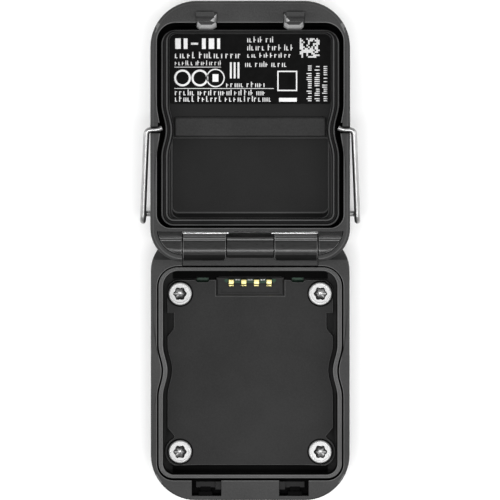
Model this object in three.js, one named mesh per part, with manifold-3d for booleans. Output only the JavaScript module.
// Pocket radio transmitter with its battery lid open, in millimetres, +Z up.
// The base half lies on its front face; the lid half lies open beyond the hinge, toward +Y.
import * as THREE from 'three';
import { mergeVertices } from 'three/addons/utils/BufferGeometryUtils.js';
import Module from 'manifold-3d';

const wasm = await Module();
wasm.setup();

// ---------------------------------------------------------------- driving dimensions
const HALF_WIDTH = 23.5;            // both halves
const AXIS_Z = 14.0;                // hinge axis height; the axis lies at Y = 0
const CENTRE_SHIFT = 0.4;           // moves the whole assembly so its footprint is centred

const BASE_RIM_Z = 12.0;
const BASE_OUTER = { halfWidth: HALF_WIDTH, yLow: -59.3, yHigh: 3.9, rLow: 10.7, rHigh: 9.0 };
const SIDE_WAVE = { centre: -28.7, half: 6.15, depth: 1.08 };
const BASE_INNER = { halfWidth: 22.05, yLow: -54.6, yHigh: -3.9, rLow: 3.9, rHigh: 5.0, wave: SIDE_WAVE };
const FRONT_WALL = 1.6;

const TRAY_OUTER = { halfWidth: 21.7, yLow: -54.1, yHigh: -4.15, rLow: 3.5, rHigh: 4.6, wave: SIDE_WAVE };
const TRAY_INNER = { halfWidth: 20.6, yLow: -53.2, yHigh: -5.05, rLow: 2.6, rHigh: 3.7, wave: SIDE_WAVE };
const TRAY_UNDERSIDE_Z = 5.0;
const TRAY_CHANNEL_Z = 6.2;
const TRAY_FLOOR_Z = 7.4;
const TRAY_TOP_Z = 12.0;

const SCREW_X = 16.7;
const SCREW_Y = [-10.5, -48.1];
const SCREW_HEAD_R = 2.75;
const SCREW_BORE_R = 3.12;
const SCREW_SEAT_Z = 5.6;

const CONTACT_X = [-4.5, -1.5, 1.5, 4.5];
const CONTACT_WIDTH = 1.18;

const KNUCKLE_R = 2.6;
const RELIEF_R = 3.15;
const HORN_R = 2.9;
const PIN_R = 0.95;
const PIN_BORE_R = 1.05;
const PIN_HALF = 19.6;
const CENTRE_KNUCKLE = 5.5;
const WIDE_KNUCKLE = [5.72, 15.8];
const HINGE_CUT_HALF = 16.0;

const LID_BACK_Z = 8.0;             // outer face of the open lid
const LID_RIM_Z = 15.8;
const LID_OUTER = { halfWidth: HALF_WIDTH, yLow: -2.9, yHigh: 58.5, rLow: 7.8, rHigh: 10.9 };
const LID_WAVE = { centre: 28.1, half: 6.3, depth: 0.76 };
const LID_INNER = { halfWidth: 21.96, yLow: 5.05, yHigh: 53.3, rLow: 3.2, rHigh: 4.4, wave: LID_WAVE };
const LID_WALL = 1.4;
const LINER_WAVE = { centre: 28.1, half: 6.3, depth: 1.06 };
const LINER_OUTER = {
  halfWidth: 20.95, yLow: 5.57, yHigh: 51.65, rLow: 3.0, rHigh: 3.4, wave: LINER_WAVE, farShare: 0.35,
};
const LABEL_OUTER = { halfWidth: 18.9, yLow: 34.4, yHigh: 50.8, rLow: 0.5, rHigh: 1.6 };
const LINER_TOP_Z = 15.1;
const LABEL_FLOOR_Z = 12.2;
const RECESS_FLOOR_Z = 10.6;

const HOOK_X = [7.85, 12.7];
const SLOT_X = [6.81, 13.83];

const CLIP_R = 0.7;
const CLIP_AXIS_Y = 28.1;
const CLIP_AXIS_Z = 14.9;

// ---------------------------------------------------------------- finishes
function finish(color, roughness, metalness) {
  return new THREE.MeshStandardMaterial({ color, roughness, metalness });
}
const HOUSING = finish(0x4a4b4b, 0.62, 0.15);
const TRAY = finish(0x333434, 0.7, 0.0);
const LINER = finish(0x2a2b2b, 0.72, 0.0);
const BLACK = finish(0x141414, 0.6, 0.0);
const GLOSS = finish(0x0c0c0d, 0.12, 0.0);
const RUBBER = finish(0x1b1b1b, 0.9, 0.0);
const STEEL = finish(0xd0d0cc, 0.22, 1.0);
const DARK_METAL = finish(0x3c3d3e, 0.38, 0.8);
const GOLD = finish(0xd8bd68, 0.28, 1.0);
const BOARD = finish(0x16382a, 0.5, 0.0);
const LENS = finish(0x8fa08f, 0.2, 0.0);
const KEY = finish(0x5a5c5e, 0.6, 0.0);

// ---------------------------------------------------------------- shape helpers
function bump(y, wave) {
  if (!wave) return 0;
  const along = (y - wave.centre) / wave.half;
  return Math.abs(along) >= 1 ? 0 : wave.depth * 0.5 * (1 + Math.cos(Math.PI * along));
}

// A rounded rectangle, anticlockwise, with its own radius at each end and pinched long sides.
// farShare thins the wall at the high end: that end moves in by only that share of the inset.
function outline(spec, inset, z, wave = spec.wave) {
  const half = spec.halfWidth - inset;
  const yLow = spec.yLow + inset;
  const yHigh = spec.yHigh - inset * (spec.farShare ?? 1);
  const rLow = Math.max(spec.rLow - inset, 0.4);
  const rHigh = Math.max(spec.rHigh - inset, 0.4);
  const ring = [];
  const corner = (cx, cy, radius, from) => {
    for (let step = 0; step <= 6; step += 1) {
      const angle = from + (step / 6) * Math.PI / 2;
      ring.push([cx + radius * Math.cos(angle), cy + radius * Math.sin(angle), z]);
    }
  };
  const middle = spec.wave ? spec.wave.centre : (yLow + yHigh) / 2;
  const reach = spec.wave ? spec.wave.half : 6;
  const side = (sign, order) => {
    for (let step = -5; step <= 5; step += 1) {
      const y = middle + (order * step / 5) * reach;
      ring.push([sign * (half - bump(y, wave)), y, z]);
    }
  };
  corner(half - rLow, yLow + rLow, rLow, -Math.PI / 2);
  side(1, 1);
  corner(half - rHigh, yHigh - rHigh, rHigh, 0);
  corner(-half + rHigh, yHigh - rHigh, rHigh, Math.PI / 2);
  side(-1, -1);
  corner(-half + rLow, yLow + rLow, rLow, Math.PI);
  return ring;
}

// Skins a stack of outlines; an open stack is capped at both ends.
function loft(rings, closed = false) {
  const count = rings[0].length;
  const points = rings.flat();
  const index = [];
  const bands = closed ? rings.length : rings.length - 1;
  for (let band = 0; band < bands; band += 1) {
    const low = band * count;
    const high = ((band + 1) % rings.length) * count;
    for (let i = 0; i < count; i += 1) {
      const j = (i + 1) % count;
      index.push(low + i, low + j, high + j, low + i, high + j, high + i);
    }
  }
  if (!closed) {
    capEnd(points, index, rings[0], 0, true);
    capEnd(points, index, rings[rings.length - 1], (rings.length - 1) * count, false);
  }
  const geometry = new THREE.BufferGeometry();
  geometry.setAttribute('position', new THREE.Float32BufferAttribute(points.flat(), 3));
  geometry.setIndex(index);
  return geometry;
}

function capEnd(points, index, ring, start, facesDown) {
  const centre = points.length;
  const middle = (axis) => {
    const values = ring.map((point) => point[axis]);
    return (Math.min(...values) + Math.max(...values)) / 2;
  };
  points.push([middle(0), middle(1), ring[0][2]]);
  for (let i = 0; i < ring.length; i += 1) {
    const j = (i + 1) % ring.length;
    if (facesDown) index.push(centre, start + j, start + i);
    else index.push(centre, start + i, start + j);
  }
}

function toManifold(geometry) {
  const bare = new THREE.BufferGeometry();
  bare.setAttribute('position', geometry.getAttribute('position'));
  if (geometry.index) bare.setIndex(geometry.index);
  const welded = mergeVertices(bare, 1e-5);
  const corners = welded.index.array;
  const whole = [];
  for (let i = 0; i < corners.length; i += 3) {
    const [a, b, c] = [corners[i], corners[i + 1], corners[i + 2]];
    if (a !== b && b !== c && c !== a) whole.push(a, b, c);
  }
  return new wasm.Manifold(new wasm.Mesh({
    numProp: 3,
    vertProperties: new Float32Array(welded.attributes.position.array),
    triVerts: new Uint32Array(whole),
  }));
}

function toGeometry(solid) {
  const mesh = solid.getMesh();
  const geometry = new THREE.BufferGeometry();
  geometry.setAttribute('position', new THREE.BufferAttribute(mesh.vertProperties, 3));
  geometry.setIndex(new THREE.BufferAttribute(mesh.triVerts, 1));
  geometry.computeVertexNormals();
  return geometry;
}

function fuse(...pieces) {
  return toGeometry(pieces.map(toManifold).reduce((whole, piece) => whole.add(piece)));
}

function carve(body, ...cutters) {
  return toGeometry(cutters.map(toManifold).reduce((whole, cutter) => whole.subtract(cutter), toManifold(body)));
}

function block(x, y, z) {
  const box = new THREE.BoxGeometry(x[1] - x[0], y[1] - y[0], z[1] - z[0]);
  return box.translate((x[0] + x[1]) / 2, (y[0] + y[1]) / 2, (z[0] + z[1]) / 2);
}

// A flat outline [x, y] raised from one height to another.
function prism(points, z) {
  const shape = new THREE.Shape(points.map(([x, y]) => new THREE.Vector2(x, y)));
  const solid = new THREE.ExtrudeGeometry(shape, { depth: z[1] - z[0], bevelEnabled: false });
  return solid.translate(0, 0, z[0]);
}

// A side outline [y, z] run across from one X to another.
function runAcross(points, x) {
  const solid = prism(points, [0, x[1] - x[0]]);
  const turn = new THREE.Matrix4().makeBasis(
    new THREE.Vector3(0, 1, 0), new THREE.Vector3(0, 0, 1), new THREE.Vector3(1, 0, 0));
  return solid.applyMatrix4(turn).translate(x[0], 0, 0);
}

// A block whose edges toward the viewer and away from it are both eased.
function easedBlock(x, y, z, ease) {
  const rows = [[ease, z[0]], [0, z[0] + ease], [0, z[1] - ease], [ease, z[1]]];
  return loft(rows.map(([inset, height]) => [
    [x[0] + inset, y[0] + inset, height],
    [x[1] - inset, y[0] + inset, height],
    [x[1] - inset, y[1] - inset, height],
    [x[0] + inset, y[1] - inset, height],
  ]));
}

// Upright turned piece at [x, y] from a profile of [radius, z].
function turned(profile, x, y, segments = 20) {
  const solid = new THREE.LatheGeometry(profile.map(([r, z]) => new THREE.Vector2(r, z)), segments);
  return solid.rotateX(Math.PI / 2).translate(x, y, 0);
}

function upright(radius, z, x, y, segments = 20) {
  return turned([[0, z[0]], [radius, z[0]], [radius, z[1]], [0, z[1]]], x, y, segments);
}

// Cylinder along X about the line at [y, z].
function across(radius, x, y = 0, z = AXIS_Z, segments = 28) {
  const solid = new THREE.CylinderGeometry(radius, radius, x[1] - x[0], segments);
  return solid.rotateZ(-Math.PI / 2).translate((x[0] + x[1]) / 2, y, z);
}

// Cylinder along Y, centred at [x, z].
function along(radius, y, x, z, segments = 20) {
  const solid = new THREE.CylinderGeometry(radius, radius, y[1] - y[0], segments);
  return solid.translate(x, (y[0] + y[1]) / 2, z);
}

const mirrorX = (range) => [-range[1], -range[0]];
const sided = (range, sign) => (sign > 0 ? range : mirrorX(range));

function arc(cx, cy, radius, from, to, steps) {
  const points = [];
  for (let step = 0; step <= steps; step += 1) {
    const angle = THREE.MathUtils.degToRad(from + (to - from) * step / steps);
    points.push([cx + radius * Math.cos(angle), cy + radius * Math.sin(angle)]);
  }
  return points;
}

function piece(name, geometry, material) {
  const mesh = new THREE.Mesh(geometry, material);
  mesh.name = name;
  return mesh;
}

// ---------------------------------------------------------------- base half
const SOCKET_Z = 4.8;
const AERIAL_X = -8.5;
const AUDIO_X = 8.5;
const SOCKET_BORE_R = 3.35;
const WINDOW = { x: [-11.6, 11.6], y: [-46.6, -31.4] };
const KEY_CENTRES = { key_down: [-8.4, -26.5], key_set: [0, -26.5], key_up: [8.4, -26.5], power_key: [0, -18.5] };
const KEY_HALF = [3.2, 1.9];
const LENS_PLACES = { signal_lens: [-4, -50.4], battery_lens: [4, -50.4] };
const BOSS_R = 2.6;
const SHANK_R = 1.4;

function baseHousing() {
  const shell = loft([
    outline(BASE_OUTER, 2.4, 0),
    outline(BASE_OUTER, 1.0, 0.4),
    outline(BASE_OUTER, 0.25, 1.4),
    outline(BASE_OUTER, 0, 2.8),
    outline(BASE_OUTER, 0, BASE_RIM_Z - 0.5),
    outline(BASE_OUTER, 0.4, BASE_RIM_Z),
    outline(BASE_INNER, -0.1, BASE_RIM_Z),
    outline(BASE_INNER, 0, BASE_RIM_Z - 0.2),
    outline(BASE_INNER, 0, FRONT_WALL),
  ]);
  const bosses = screwPlaces().map(([x, y]) => upright(BOSS_R, [FRONT_WALL - 0.2, TRAY_UNDERSIDE_Z - 0.1], x, y, 16));
  const cutters = [
    across(RELIEF_R, [-24, 24]),
    block([-HINGE_CUT_HALF - 0.1, HINGE_CUT_HALF + 0.1], [-4.3, 1.7], [10.2, 13]),
    block([-10.5, 10.5], [WINDOW.y[0] + 1.1, WINDOW.y[1] - 1.1], [-1, 2]),
    block(WINDOW.x, WINDOW.y, [-1, 0.8]),
    along(SOCKET_BORE_R, [-60, -55.1], AERIAL_X, SOCKET_Z),
    along(SOCKET_BORE_R, [-60, -55.1], AUDIO_X, SOCKET_Z),
    ...[-1, 1].flatMap(latchCavity),
    ...screwPlaces().map(([x, y]) => upright(SHANK_R + 0.1, [1.9, 8], x, y, 12)),
    ...Object.values(KEY_CENTRES).map(([x, y]) => keyBlock(x, y, 0.2, [-1, 2])),
    ...Object.values(LENS_PLACES).map(([x, y]) => upright(0.9, [-1, 2], x, y, 12)),
  ];
  return carve(fuse(shell, ...bosses), ...cutters);
}

function screwPlaces() {
  return [-SCREW_X, SCREW_X].flatMap((x) => SCREW_Y.map((y) => [x, y]));
}

// Room for one sliding latch: the open slot, its undercut and the thumb window.
function latchCavity(sign) {
  return [
    block(sided(SLOT_X, sign), [-58.25, -54.4], [9.0, 13]),
    block(sided([6.2, 14.2], sign), [-58.25, -54.9], [9.0, 11.1]),
    block(sided([8.7, 13.5], sign), [-60, -58], [9.35, 11.15]),
  ];
}

function keyBlock(x, y, clearance, z) {
  const [halfX, halfY] = [KEY_HALF[0] + clearance, KEY_HALF[1] + clearance];
  return block([x - halfX, x + halfX], [y - halfY, y + halfY], z);
}

// Bearing surface for the battery, with its side notches and the rounded lands at two screws.
function plateauOutline() {
  const half = [
    [12.6, -51.3],
    ...arc(SCREW_X, SCREW_Y[1], 3.55, -70, 62, 8),
    [18.0, -44.5],
    [19.75, -42.4],
    ...[-3, -2, -1, 0, 1, 2, 3].map((step) => {
      const y = SIDE_WAVE.centre + (step / 3) * SIDE_WAVE.half;
      return [19.75 - bump(y, SIDE_WAVE), y];
    }),
    [19.75, -20.7],
    [18.2, -18.55],
    [18.2, -15.1],
    [19.75, -15.1],
    [19.75, -9.4],
    [17.9, -7.2],
    [13.4, -7.2],
    [12.6, -8.0],
    [10.0, -8.0],
    [9.3, -7.2],
  ];
  return [...half, ...half.map(([x, y]) => [-x, y]).reverse()];
}

function batteryTray() {
  const frame = loft([
    outline(TRAY_OUTER, 0.3, TRAY_UNDERSIDE_Z),
    outline(TRAY_OUTER, 0, TRAY_UNDERSIDE_Z + 0.4),
    outline(TRAY_OUTER, 0, TRAY_TOP_Z - 0.3),
    outline(TRAY_OUTER, 0.25, TRAY_TOP_Z),
    outline(TRAY_INNER, -0.25, TRAY_TOP_Z),
    outline(TRAY_INNER, 0, TRAY_TOP_Z - 0.3),
    outline(TRAY_INNER, 0, TRAY_CHANNEL_Z),
  ]);
  const plateau = prism(plateauOutline(), [TRAY_CHANNEL_Z - 0.3, TRAY_FLOOR_Z]);
  const cutters = [
    block([-8.25, 8.25], [-11.2, -6.4], [5.8, 8]),
    block([9.8, 12.8], [-8.4, -6.7], [4, 8]),
    block([-12.8, -9.8], [-8.4, -6.7], [4, 8]),
    ...screwPlaces().map(([x, y]) => upright(SCREW_BORE_R, [SCREW_SEAT_Z, 9], x, y, 24)),
    ...screwPlaces().map(([x, y]) => upright(SHANK_R + 0.15, [4, 9], x, y, 12)),
  ];
  return carve(fuse(frame, plateau), ...cutters);
}

// Pan-head screw with a six-lobed drive recess; drawn at the origin, head up.
function trayScrew() {
  const top = TRAY_FLOOR_Z + 0.6;
  const seat = SCREW_SEAT_Z + 0.1;
  const body = turned([
    [0, 2.3], [SHANK_R - 0.3, 2.3], [SHANK_R, 2.7], [SHANK_R, seat],
    [SCREW_HEAD_R, seat], [SCREW_HEAD_R, top - 0.45], [SCREW_HEAD_R - 0.4, top], [0, top],
  ], 0, 0, 24);
  const lobes = [];
  for (let step = 0; step < 24; step += 1) {
    const angle = (step / 24) * Math.PI * 2;
    const radius = 1.4 + 0.2 * Math.cos(6 * angle + Math.PI);
    lobes.push([radius * Math.cos(angle), radius * Math.sin(angle)]);
  }
  return carve(body, prism(lobes, [top - 1.2, top + 1]));
}

function contactBlock() {
  const body = easedBlock([-8.05, 8.05], [-11.0, -6.6], [5.9, 6.75], 0.15);
  const slots = CONTACT_X.map((x) => block([x - 0.75, x + 0.75], [-8.9, -6.8], [6.1, 7]));
  const well = block([-6.9, 6.9], [-10.3, -9.2], [6.45, 7]);
  return carve(body, well, ...slots);
}

// One sprung contact: a strip that rises from the block and curls over at the top.
function contactSpring() {
  const strip = [
    [-7.0, 6.2], [-8.75, 6.2], [-8.75, 6.4], [-7.5, 6.5], [-7.75, 7.55], [-8.0, 7.75],
    [-8.45, 7.5], [-8.6, 7.6], [-8.15, 8.0], [-7.6, 7.9], [-7.2, 7.5],
  ];
  return runAcross(strip.reverse(), [-CONTACT_WIDTH / 2, CONTACT_WIDTH / 2]);
}

function mainBoard() {
  const board = block([-13.6, 13.6], [-53.2, -5.2], [4.0, 4.7]);
  return board;
}

// Plate let into the rim, with the centre knuckle rising out of it.
function hingeBracket() {
  const plate = block([-15.95, 15.95], [-3.8, 1.5], [10.35, 12.1]);
  const knuckle = across(KNUCKLE_R, [-CENTRE_KNUCKLE + 0.05, CENTRE_KNUCKLE - 0.05]);
  const neck = block([-CENTRE_KNUCKLE + 0.05, CENTRE_KNUCKLE - 0.05], [-1.9, 1.2], [10.5, 12.6]);
  const relieved = carve(plate, across(RELIEF_R - 0.1, [-17, 17]));
  const pinBore = across(PIN_BORE_R, [-17, 17], 0, AXIS_Z, 20);
  return carve(fuse(relieved, knuckle, neck), pinBore);
}

function displayModule() {
  return easedBlock([-10.1, 10.1], [-45.1, -32.9], [0.95, 2.7], 0.15);
}

function displayWindow() {
  return easedBlock([-11.4, 11.4], [-46.4, -31.6], [0.12, 0.72], 0.1);
}

function keyCap([x, y]) {
  const cap = easedBlock(
    [x - KEY_HALF[0], x + KEY_HALF[0]], [y - KEY_HALF[1], y + KEY_HALF[1]], [0.25, 2.4], 0.2);
  return fuse(cap, keyBlock(x, y, 0.6, [1.75, 2.4]));
}

function keyMat() {
  return block([-12.6, 12.6], [-29.6, -15.6], [3.0, 3.6]);
}

function latchSlider(sign) {
  const run = (x) => sided(x, sign);
  const slab = block(run([6.85, 12.86]), [-56.4, -55.0], [9.1, 9.75]);
  const neck = block(run([6.75, 7.35]), [-56.8, -54.9], [9.1, 11.0]);
  const nose = block(run([7.0, 8.25]), [-56.8, -54.9], [10.65, 11.0]);
  const arm = block(run([9.4, 11.8]), [-58.1, -56.2], [9.1, 9.9]);
  const pad = block(run([9.0, 12.2]), [-59.15, -57.3], [9.5, 11.0]);
  const grooves = [9.7, 10.5, 11.3].map((x) => block(run([x, x + 0.3]), [-60, -58.85], [9, 12]));
  return carve(fuse(slab, neck, nose, arm, pad), ...grooves);
}

function aerialSocket() {
  const body = along(SOCKET_BORE_R - 0.15, [-59.2, -55.3], AERIAL_X, SOCKET_Z, 24);
  return carve(body, along(2.2, [-60, -56.5], AERIAL_X, SOCKET_Z, 24));
}

function aerialInsulator() {
  const body = along(2.1, [-58.2, -56.6], AERIAL_X, SOCKET_Z);
  return carve(body, along(0.7, [-60, -57.2], AERIAL_X, SOCKET_Z, 12));
}

function audioSocketShell() {
  const body = along(SOCKET_BORE_R - 0.15, [-59.2, -55.3], AUDIO_X, SOCKET_Z, 24);
  return carve(body, along(2.5, [-60, -56.3], AUDIO_X, SOCKET_Z, 24));
}

const audioPinPlaces = () => [90, 210, 330].map((angle) => {
  const turn = THREE.MathUtils.degToRad(angle);
  return [AUDIO_X + 1.2 * Math.cos(turn), SOCKET_Z + 1.2 * Math.sin(turn)];
});

function audioSocketInsert() {
  const body = along(2.4, [-57.9, -56.4], AUDIO_X, SOCKET_Z);
  return carve(body, ...audioPinPlaces().map(([x, z]) => along(0.42, [-60, -57.0], x, z, 10)));
}

function buildBase() {
  const base = new THREE.Group();
  base.name = 'base_half';
  base.add(piece('base_housing', baseHousing(), HOUSING));
  base.add(piece('battery_tray', batteryTray(), TRAY));
  screwPlaces().forEach(([x, y], index) => {
    const screw = piece(`tray_screw_${index + 1}`, trayScrew(), STEEL);
    screw.position.set(x, y, 0);
    base.add(screw);
  });
  base.add(piece('contact_block', contactBlock(), BLACK));
  CONTACT_X.forEach((x, index) => {
    const spring = piece(`contact_spring_${index + 1}`, contactSpring(), GOLD);
    spring.position.x = x;
    base.add(spring);
  });
  base.add(piece('main_board', mainBoard(), BOARD));
  base.add(piece('radio_shield', block([-10, 10], [-13.5, -6.0], [2.2, 3.9]), STEEL));
  base.add(piece('hinge_bracket', hingeBracket(), DARK_METAL));
  base.add(piece('display_module', displayModule(), LENS));
  base.add(piece('display_window', displayWindow(), GLOSS));
  base.add(piece('key_mat', keyMat(), RUBBER));
  Object.entries(LENS_PLACES).forEach(([name, [x, y]]) => {
    base.add(piece(name, upright(0.75, [0.12, 2.2], x, y, 12), LENS));
  });
  base.add(piece('aerial_socket', aerialSocket(), GOLD));
  base.add(piece('aerial_insulator', aerialInsulator(), KEY));
  base.add(piece('audio_socket_shell', audioSocketShell(), STEEL));
  base.add(piece('audio_socket_insert', audioSocketInsert(), BLACK));
  audioPinPlaces().forEach(([x, z], index) => {
    base.add(piece(`audio_pin_${index + 1}`, along(0.3, [-58.0, -57.05], x, z, 8), GOLD));
  });
  Object.entries(KEY_CENTRES).forEach(([name, place]) => base.add(piece(name, keyCap(place), KEY)));
  base.add(piece('latch_left', latchSlider(-1), KEY));
  base.add(piece('latch_right', latchSlider(1), KEY));
  return base;
}

// ---------------------------------------------------------------- lid half
function lidShell() {
  const shell = loft([
    outline(LID_OUTER, 2.6, LID_BACK_Z),
    outline(LID_OUTER, 1.1, LID_BACK_Z + 0.45),
    outline(LID_OUTER, 0.3, LID_BACK_Z + 1.4),
    outline(LID_OUTER, 0, LID_BACK_Z + 2.8),
    outline(LID_OUTER, 0, LID_RIM_Z - 0.7),
    outline(LID_OUTER, 0.25, LID_RIM_Z - 0.2),
    outline(LID_OUTER, 0.8, LID_RIM_Z),
    outline(LID_INNER, -0.15, LID_RIM_Z),
    outline(LID_INNER, 0, LID_RIM_Z - 0.3),
    outline(LID_INNER, 0, LID_BACK_Z + LID_WALL),
  ]);
  const hornUndercut = runAcross([
    [-6, 7], [7.0, 7], [7.0, 8.0], [5.2, 8.35], [4.45, 9.3], [4.25, 10.6], [4.25, 12.25],
    ...arc(0, AXIS_Z, HORN_R, -37.1, -218.4, 16),
    [-6, 15.8],
  ], [-24, 24]);
  return carve(
    shell,
    hornUndercut,
    block([-HINGE_CUT_HALF, HINGE_CUT_HALF], [-4, 4.25], [7, 17]),
    across(PIN_BORE_R, [-PIN_HALF - 0.2, PIN_HALF + 0.2], 0, AXIS_Z, 20),
    ...[-1, 1].flatMap((sign) => [
      block(sided(HOOK_X, sign).map((x, end) => x + (end ? 0.1 : -0.1)), [53.0, 55.76], [13.0, 17]),
      block(sided([20.5, 25], sign), [CLIP_AXIS_Y - 0.82, CLIP_AXIS_Y + 0.82], [13.8, 17]),
      block(sided([20.5, 21.7], sign), [CLIP_AXIS_Y - 0.82, CLIP_AXIS_Y + 1.7], [13.3, 17]),
    ]),
  );
}

function lidLiner() {
  const steps = [
    [0, 9.5], [0, 14.9], [0.12, LINER_TOP_Z], [0.4, LINER_TOP_Z], [0.42, 14.2], [1.08, 14.2], [1.1, 14.9],
    [1.5, 14.9], [1.6, 14.2], [1.75, LABEL_FLOOR_Z],
  ];
  const tray = loft(steps.map(([inset, z]) => outline(LINER_OUTER, inset, z)));
  const recess = runAcross([
    [7.2, 12.4], [8.1, 11.4], [8.9, RECESS_FLOOR_Z], [26.4, RECESS_FLOOR_Z], [26.4, 12.4],
  ], [-18.5, 18.5]);
  return carve(tray, recess);
}

function lidSeal() {
  return loft([
    outline(LINER_OUTER, 0.5, 14.3),
    outline(LINER_OUTER, 0.5, 14.95),
    outline(LINER_OUTER, 0.75, LINER_TOP_Z),
    outline(LINER_OUTER, 1.0, 14.95),
    outline(LINER_OUTER, 1.0, 14.3),
  ], true);
}

function pressureBar() {
  return easedBlock([-17.9, 17.9], [26.6, 31.25], [12.3, 13.3], 0.35);
}

function typeLabel() {
  return loft([
    outline(LABEL_OUTER, 0, 12.3),
    outline(LABEL_OUTER, 0, 12.5),
    outline(LABEL_OUTER, 0.06, 12.56),
  ]);
}

function latchHook(sign) {
  const profile = [
    [53.3, 13.1], [55.66, 13.1], [55.66, 17.7], [55.3, 18.1], [54.7, 18.1], [54.35, 17.7],
    [54.35, 15.75], [54.0, 15.75], [52.3, 15.2], [51.75, 14.6], [51.75, 14.2], [53.3, 13.8],
  ];
  const body = runAcross(profile, sided(HOOK_X, sign));
  const catchNotch = block(sided([7, 9.75], sign), [54, 56], [16.3, 17.55]);
  const shoulder = block(sided([7, 8.45], sign), [54.1, 56], [15.85, 19]);
  return carve(body, catchNotch, shoulder);
}

function hingeLeaf(sign) {
  const x = sided(WIDE_KNUCKLE, sign);
  const knuckle = across(KNUCKLE_R, x);
  const leaf = block(x, [0, 4.1], [14.9, 15.7]);
  const flange = block(x, [3.4, 4.1], [12.4, 15.5]);
  const bore = across(PIN_BORE_R, [x[0] - 1, x[1] + 1], 0, AXIS_Z, 20);
  return carve(fuse(knuckle, leaf, flange), bore);
}

function buildLid() {
  const lid = new THREE.Group();
  lid.name = 'lid_half';
  lid.add(piece('lid_shell', lidShell(), HOUSING));
  lid.add(piece('lid_liner', lidLiner(), LINER));
  lid.add(piece('lid_seal', lidSeal(), RUBBER));
  lid.add(piece('type_label', typeLabel(), GLOSS));
  lid.add(piece('pressure_bar', pressureBar(), LINER));
  lid.add(piece('hook_left', latchHook(-1), DARK_METAL));
  lid.add(piece('hook_right', latchHook(1), DARK_METAL));
  lid.add(piece('hinge_leaf_left', hingeLeaf(-1), DARK_METAL));
  lid.add(piece('hinge_leaf_right', hingeLeaf(1), DARK_METAL));
  lid.add(piece('hinge_pin', across(PIN_R, [-PIN_HALF, PIN_HALF], 0, AXIS_Z, 20), STEEL));
  return lid;
}

// ---------------------------------------------------------------- belt clip
function clipPath() {
  const leg = [
    [20.85, 29.0, CLIP_AXIS_Z],
    [21.0, 28.2, CLIP_AXIS_Z],
    [21.7, CLIP_AXIS_Y, CLIP_AXIS_Z],
    [23.4, CLIP_AXIS_Y, CLIP_AXIS_Z],
    [24.25, 27.8, CLIP_AXIS_Z - 0.1],
    [24.45, 26.6, CLIP_AXIS_Z - 0.3],
    [24.9, 18.0, CLIP_AXIS_Z - 2.0],
    [25.3, 9.0, CLIP_AXIS_Z - 3.8],
    [25.4, 7.2, CLIP_AXIS_Z - 4.6],
    [25.4, 6.9, CLIP_AXIS_Z - 6.5],
    [25.2, 7.4, CLIP_AXIS_Z - 8.6],
    [24.6, 8.3, CLIP_AXIS_Z - 9.6],
    [23.4, 8.6, CLIP_AXIS_Z - 9.9],
    [12.0, 8.6, CLIP_AXIS_Z - 9.9],
  ];
  const left = leg.map(([x, y, z]) => new THREE.Vector3(-x, y, z));
  const right = leg.map(([x, y, z]) => new THREE.Vector3(x, y, z)).reverse();
  return new THREE.CatmullRomCurve3([...left, ...right], false, 'centripetal');
}

function beltClip() {
  const round = new THREE.Shape(arc(0, 0, CLIP_R, 0, 315, 7).map(([x, y]) => new THREE.Vector2(x, y)));
  return new THREE.ExtrudeGeometry(round, { steps: 120, bevelEnabled: false, extrudePath: clipPath() });
}

// ---------------------------------------------------------------- assembly
const group = new THREE.Group();
group.name = 'bodypack_transmitter';
const assembly = new THREE.Group();
assembly.name = 'assembly';
assembly.position.y = CENTRE_SHIFT;
assembly.add(buildBase());
assembly.add(buildLid());
assembly.add(piece('belt_clip', beltClip(), STEEL));
group.add(assembly);

export default group;
